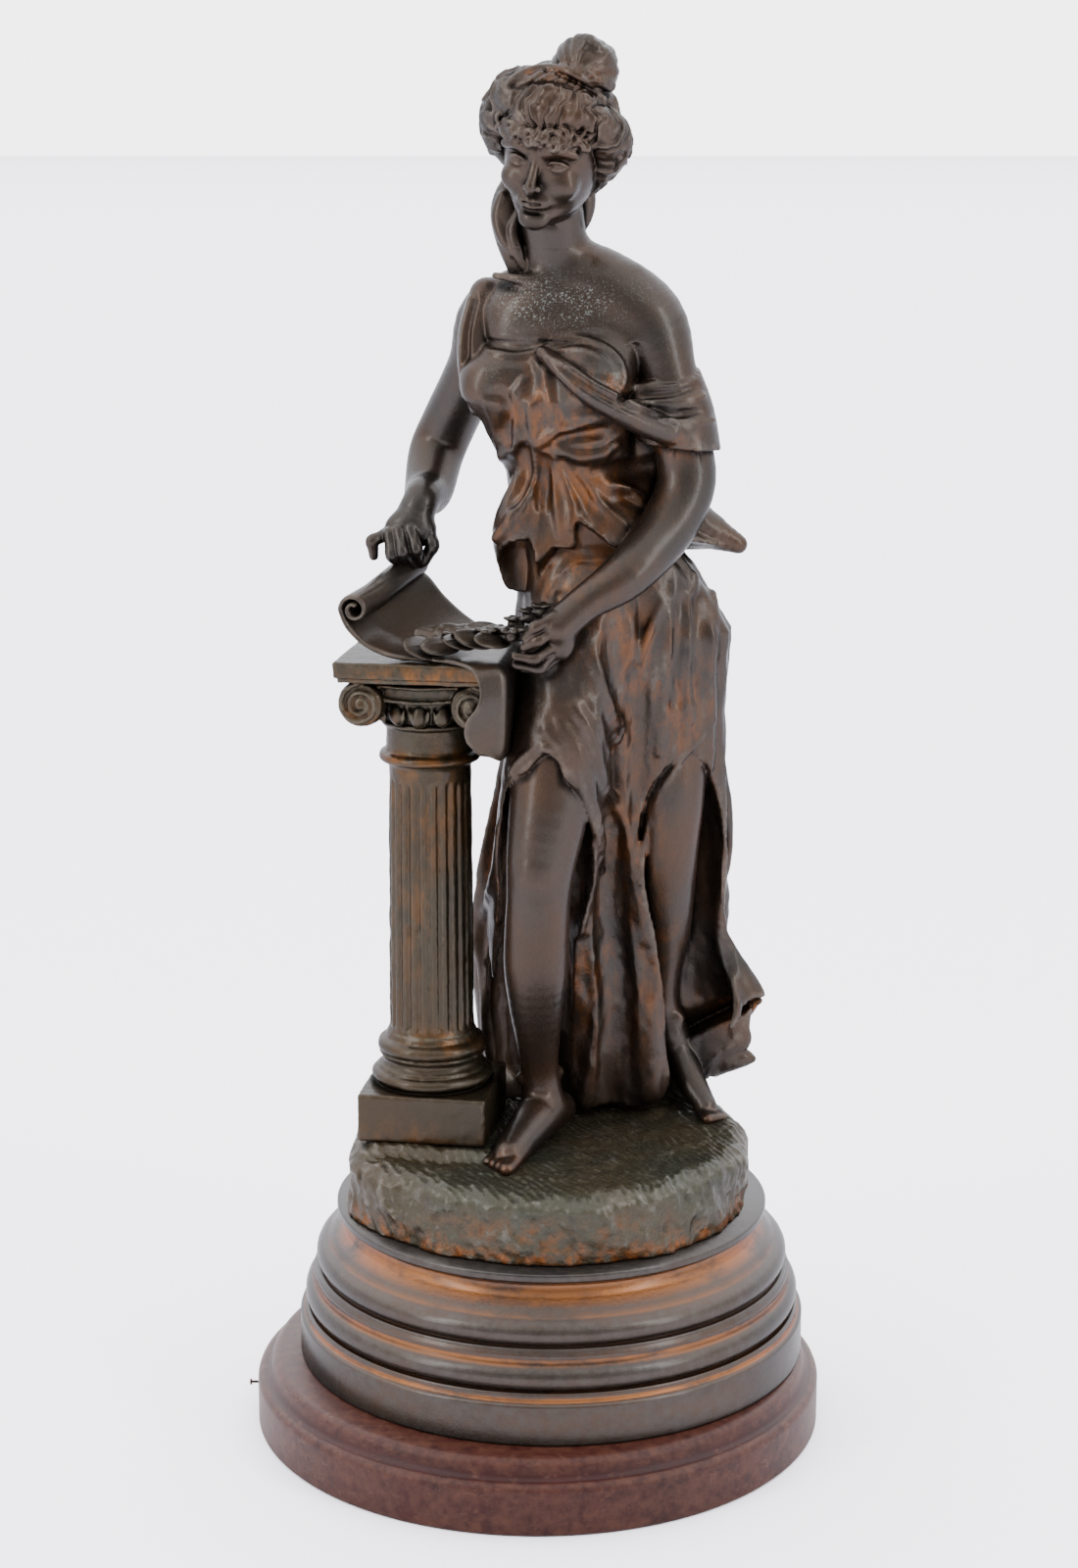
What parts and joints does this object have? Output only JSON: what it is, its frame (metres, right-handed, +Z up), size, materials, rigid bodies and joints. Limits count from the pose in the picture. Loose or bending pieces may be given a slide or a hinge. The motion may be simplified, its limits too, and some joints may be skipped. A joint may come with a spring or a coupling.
{
  "type": "figure sculpture",
  "caption": "Cast-metal sculpture of a standing woman in a draped dress who unrolls a scroll on an Ionic column, on rocky ground, a round metal socle and a painted wooden base.",
  "frame": {"origin": "centre of the wooden base's underside", "axes": "+Z up, -Y towards the viewer that she and the column face, +X to the viewer's right"},
  "size_m": [0.2543, 0.25, 0.6008],
  "materials": {
    "figure_metal": "dark brown bronzed patina, ochre in the recesses",
    "column_metal": "brown-green bronzed patina",
    "scroll_metal": "dark brown bronzed patina",
    "spray_metal": "dark grey-brown bronzed patina",
    "ground_metal": "rough grey-green patina, ochre at the rim",
    "socle_metal": "satin dark and copper banded patina",
    "base_wood": "worn oxblood paint",
    "nail_steel": "dark"
  },
  "bodies": {
    "root": {"figure": "figure_metal", "column": "column_metal", "scroll": "scroll_metal", "flower_spray": "spray_metal", "rocky_ground": "ground_metal", "metal_socle": "socle_metal", "wood_base": "base_wood", "base_nail": "nail_steel"}
  },
  "joints": []
}
